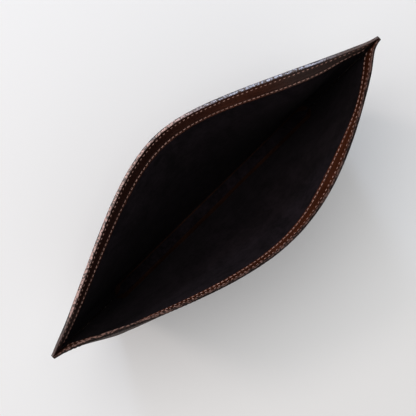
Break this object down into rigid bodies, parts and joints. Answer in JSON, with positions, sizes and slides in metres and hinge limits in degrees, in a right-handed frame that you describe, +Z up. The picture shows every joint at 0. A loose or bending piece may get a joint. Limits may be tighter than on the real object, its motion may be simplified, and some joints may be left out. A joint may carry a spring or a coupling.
{
  "type": "laptop sleeve",
  "caption": "Slim leather laptop sleeve standing with its wide mouth open, with a sewn facing round the mouth and a dark suede lining.",
  "frame": {"origin": "centre of the bounding box's underside, under the base fold", "axes": "+X along the mouth from corner to corner, +Y towards the back wall, +Z up out of the mouth"},
  "size_m": [0.331, 0.1194, 0.2382],
  "materials": {
    "outer_leather": "dark brown full-grain leather, matte with a soft sheen",
    "facing_leather": "brown leather band, slightly warmer than the outside",
    "suede_lining": "near-black napped microsuede",
    "padding_foam": "thin dense foam sheet, hidden",
    "stiffening_tape": "woven stiffening tape, hidden",
    "edge_paint": "dark brown edge paint on burnished leather edges, slightly glossy and lumpy",
    "thread": "waxed brown sewing thread"
  },
  "bodies": {
    "root": {"outer_leather": "outer_leather", "lining": "suede_lining", "back_padding": "padding_foam", "back_mouth_tape": "stiffening_tape", "back_facing": "facing_leather", "back_rim_paint": "edge_paint", "back_rim_thread_inside": "thread", "back_rim_thread_outside": "thread", "back_facing_thread": "thread", "front_padding": "padding_foam", "front_mouth_tape": "stiffening_tape", "front_facing": "facing_leather", "front_rim_paint": "edge_paint", "front_rim_thread_inside": "thread", "front_rim_thread_outside": "thread", "front_facing_thread": "thread", "left_edge_paint": "edge_paint", "left_seam_thread_back": "thread", "left_seam_thread_front": "thread", "right_edge_paint": "edge_paint", "right_seam_thread_back": "thread", "right_seam_thread_front": "thread"}
  },
  "joints": []
}
